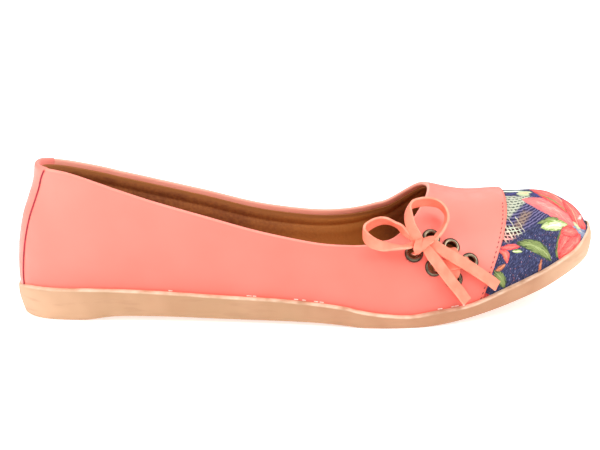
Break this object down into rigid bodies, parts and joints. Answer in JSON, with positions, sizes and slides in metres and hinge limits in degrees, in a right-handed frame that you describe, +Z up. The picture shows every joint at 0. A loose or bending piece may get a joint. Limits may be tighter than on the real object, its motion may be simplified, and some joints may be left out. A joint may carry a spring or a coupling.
{
  "type": "ballet flat",
  "caption": "Low slip-on shoe with a cup sole, a soft one-piece upper, a printed toe cap and a flat lace bow on the outer side.",
  "frame": {"origin": "on the floor under the middle of the shoe's length and width", "axes": "+X to the toe, +Y to the shoe's inner side, +Z up"},
  "size_m": [0.252, 0.0832, 0.0663],
  "materials": {
    "sole_rubber": "matt moulded rubber, tan",
    "lining": "matt brown lining",
    "upper_leather": "smooth soft coral leather",
    "toe_print": "printed cotton cloth, navy with coral and leaf green",
    "eyelet_metal": "aged nickel plating, half bright",
    "lace": "matt flat lace, peach"
  },
  "bodies": {
    "root": {"outsole": "sole_rubber", "insole": "lining", "upper": "upper_leather", "toe_cap": "toe_print", "back_strip": "upper_leather", "eyelet_1": "eyelet_metal", "eyelet_2": "eyelet_metal", "eyelet_3": "eyelet_metal", "eyelet_4": "eyelet_metal", "eyelet_5": "eyelet_metal", "eyelet_6": "eyelet_metal", "lace_crossing": "lace", "lace_knot": "lace", "lace_loop_rear": "lace", "lace_loop_front": "lace", "lace_end_lower": "lace", "lace_end_upper": "lace"}
  },
  "joints": []
}
